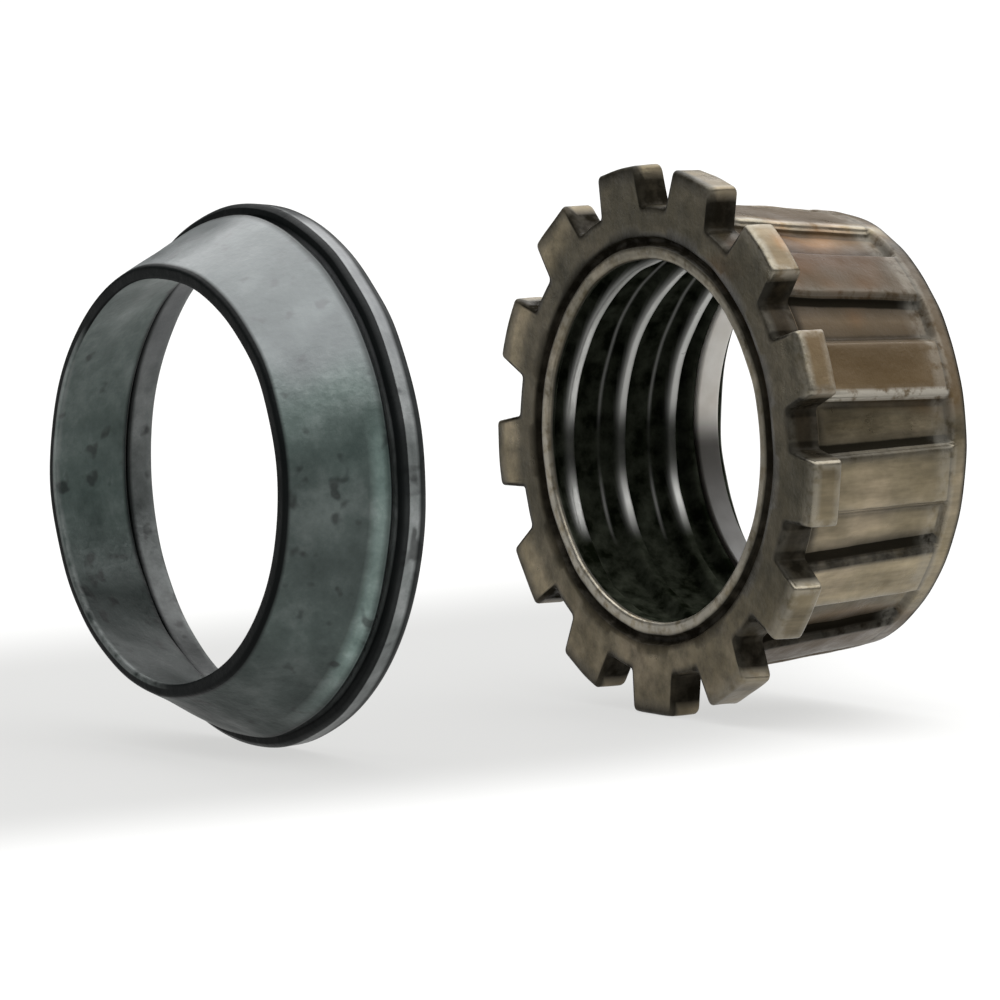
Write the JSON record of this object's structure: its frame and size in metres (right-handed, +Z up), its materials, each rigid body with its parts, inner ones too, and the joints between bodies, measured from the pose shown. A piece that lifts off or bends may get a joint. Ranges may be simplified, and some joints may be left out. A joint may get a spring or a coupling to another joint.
{
  "type": "conduit gland nut and compression ring set",
  "caption": "Castellated gland nut with a ribbed barrel, inside thread and sealing ring, with the conical compression ring and backing ring that it presses onto a conduit.",
  "frame": {"origin": "centre of the footprint, on the surface that the loose pieces stand on", "axes": "+X along the common axis, from the compression ring's small end to the nut's back; +Z up; the nut's mouth faces -X"},
  "size_m": [0.0426, 0.0292, 0.0289],
  "materials": {
    "bronze_nut": "dark bronze plated die casting, satin",
    "sealing_ring": "pale nylon, satin",
    "zinc_cone": "mottled grey-green zinc, satin",
    "zinc_backing": "grey zinc, satin"
  },
  "bodies": {
    "nut": {"gland_nut": "bronze_nut", "sealing_ring": "sealing_ring"},
    "backing": {"backing_ring": "zinc_backing"},
    "cone": {"compression_ring": "zinc_cone"}
  },
  "joints": [
    {"name": "ring_slide", "type": "slide", "parent": "nut", "child": "backing", "axis": [0.9998, 0, 0.0214], "range_m": [0, 0.02331]},
    {"name": "cone_turn", "type": "hinge", "parent": "backing", "child": "cone", "pos_m": [-0.01595, 0, 0.01397], "axis": [1, 0, 0], "continuous": true}
  ]
}
